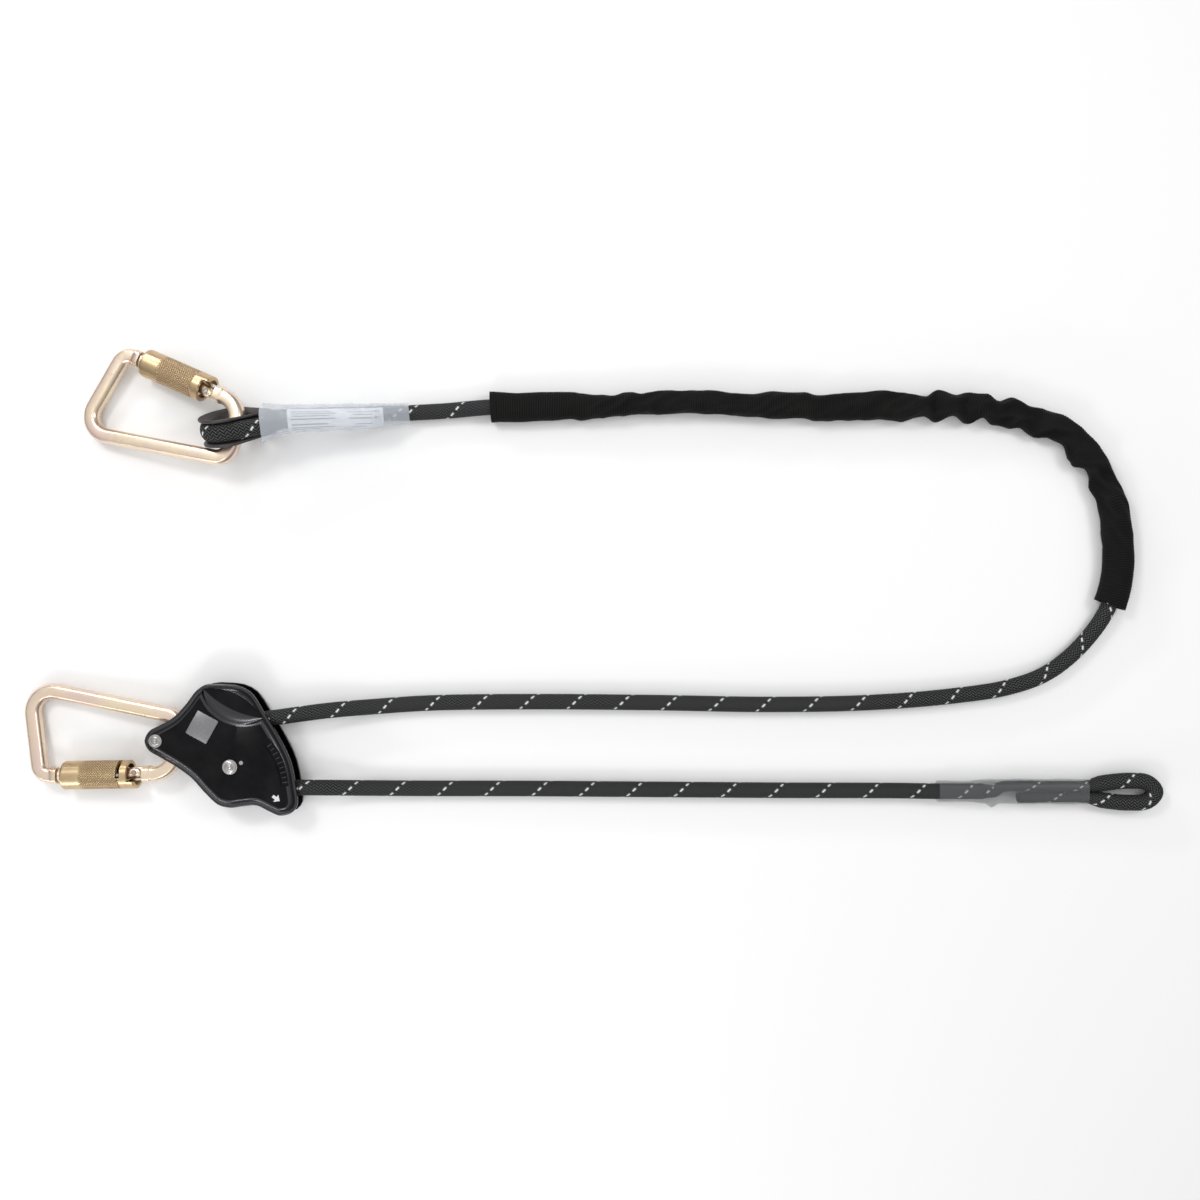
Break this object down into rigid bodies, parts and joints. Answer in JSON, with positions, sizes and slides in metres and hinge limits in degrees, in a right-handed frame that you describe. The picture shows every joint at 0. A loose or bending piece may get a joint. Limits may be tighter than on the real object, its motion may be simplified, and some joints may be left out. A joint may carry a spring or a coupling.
{
  "type": "rope grab",
  "caption": "Adjustable positioning lanyard: a cam rope grab on a kernmantle rope, with self-locking steel carabiners, a thimble eye and a protective webbing sleeve.",
  "frame": {"origin": "foot of the cam pivot pin's axis, on the housing's rear face, which the lanyard lies on", "axes": "+X from the adjuster along the tail, +Y from the adjuster to the anchor eye, +Z out of the housing's front face"},
  "size_m": [0.9027, 0.3671, 0.0489],
  "materials": {
    "black_anodised": "satin black anodised",
    "bright_steel": "turned stainless",
    "hidden_steel": "plain",
    "yellow_zinc": "yellow zinc plated steel",
    "bronze": "plain",
    "rope_black": "braided polyamide",
    "webbing_black": "ribbed tubular webbing",
    "thimble_plastic": "matte",
    "clear_film": "clear shrink tube",
    "label_paper": "printed film"
  },
  "bodies": {
    "lanyard": {"front_plate": "black_anodised", "rear_plate": "black_anodised", "cam_washer_front": "hidden_steel", "cam_washer_rear": "hidden_steel", "cam_return_spring": "hidden_steel", "cam_pivot_pin": "bright_steel", "attachment_pin": "bright_steel", "attachment_bush": "bronze", "spring_anchor_pin": "bright_steel", "rope_guide_post": "hidden_steel", "brake_anvil": "hidden_steel", "anvil_dowel_inner": "hidden_steel", "anvil_dowel_outer": "hidden_steel", "badge_tile": "bright_steel", "rope_in_housing": "rope_black", "anchor_thimble": "thimble_plastic", "anchor_eye_rope": "rope_black", "anchor_eye_cover": "clear_film", "anchor_eye_label": "label_paper", "load_rope": "rope_black", "protective_sleeve": "webbing_black", "tail_rope": "rope_black", "tail_eye_rope": "rope_black", "tail_eye_cover": "clear_film"},
    "cam": {"cam": "hidden_steel", "cam_bush": "bronze"},
    "grab_carabiner": {"grab_carabiner_body": "yellow_zinc", "grab_gate_rivet": "bright_steel"},
    "grab_gate": {"grab_gate": "yellow_zinc", "grab_gate_plunger": "hidden_steel", "grab_gate_spring": "hidden_steel", "grab_guide_pin": "bright_steel", "grab_sleeve_spring": "hidden_steel"},
    "grab_locking_sleeve": {"grab_locking_sleeve": "yellow_zinc"},
    "anchor_carabiner": {"anchor_carabiner_body": "yellow_zinc", "anchor_gate_rivet": "bright_steel"},
    "anchor_gate": {"anchor_gate": "yellow_zinc", "anchor_gate_plunger": "hidden_steel", "anchor_gate_spring": "hidden_steel", "anchor_guide_pin": "bright_steel", "anchor_sleeve_spring": "hidden_steel"},
    "anchor_locking_sleeve": {"anchor_locking_sleeve": "yellow_zinc"}
  },
  "joints": [
    {"name": "cam_turn", "type": "hinge", "parent": "lanyard", "child": "cam", "pos_m": [0, 0, 0.014], "axis": [0, 0, 1], "range_deg": [0, 18], "stiffness_Nm_per_rad": 0.05, "springref_deg": -22.92},
    {"name": "grab_carabiner_swing", "type": "hinge", "parent": "lanyard", "child": "grab_carabiner", "pos_m": [-0.058, 0.0202, 0.014], "axis": [0, 0, 1], "range_deg": [-25, 25]},
    {"name": "anchor_carabiner_swing", "type": "hinge", "parent": "lanyard", "child": "anchor_carabiner", "pos_m": [0.00288, 0.2609, 0.0246], "axis": [0.1971, 0.9804, 0], "range_deg": [0, 15]},
    {"name": "grab_gate_hinge", "type": "hinge", "parent": "grab_carabiner", "child": "grab_gate", "pos_m": [-0.07752, -0.00569, 0.01466], "axis": [0.0543, -0.0675, -0.9962], "range_deg": [0, 25], "stiffness_Nm_per_rad": 0.3, "springref_deg": -20.05},
    {"name": "grab_sleeve_turn", "type": "hinge", "parent": "grab_gate", "child": "grab_locking_sleeve", "pos_m": [-0.1352, -0.00854, 0.01171], "axis": [0.9983, 0.0235, 0.0528], "range_deg": [0, 75], "stiffness_Nm_per_rad": 0.02, "springref_deg": -22.92},
    {"name": "anchor_gate_hinge", "type": "hinge", "parent": "anchor_carabiner", "child": "anchor_gate", "pos_m": [-0.01875, 0.29313, 0.02043], "axis": [-0.1466, 0.0295, 0.9888], "range_deg": [0, 25], "stiffness_Nm_per_rad": 0.3, "springref_deg": -20.05},
    {"name": "anchor_sleeve_turn", "type": "hinge", "parent": "anchor_gate", "child": "anchor_locking_sleeve", "pos_m": [-0.07042, 0.31767, 0.01204], "axis": [0.9045, -0.4007, 0.1461], "range_deg": [0, 75], "stiffness_Nm_per_rad": 0.02, "springref_deg": -22.92}
  ]
}
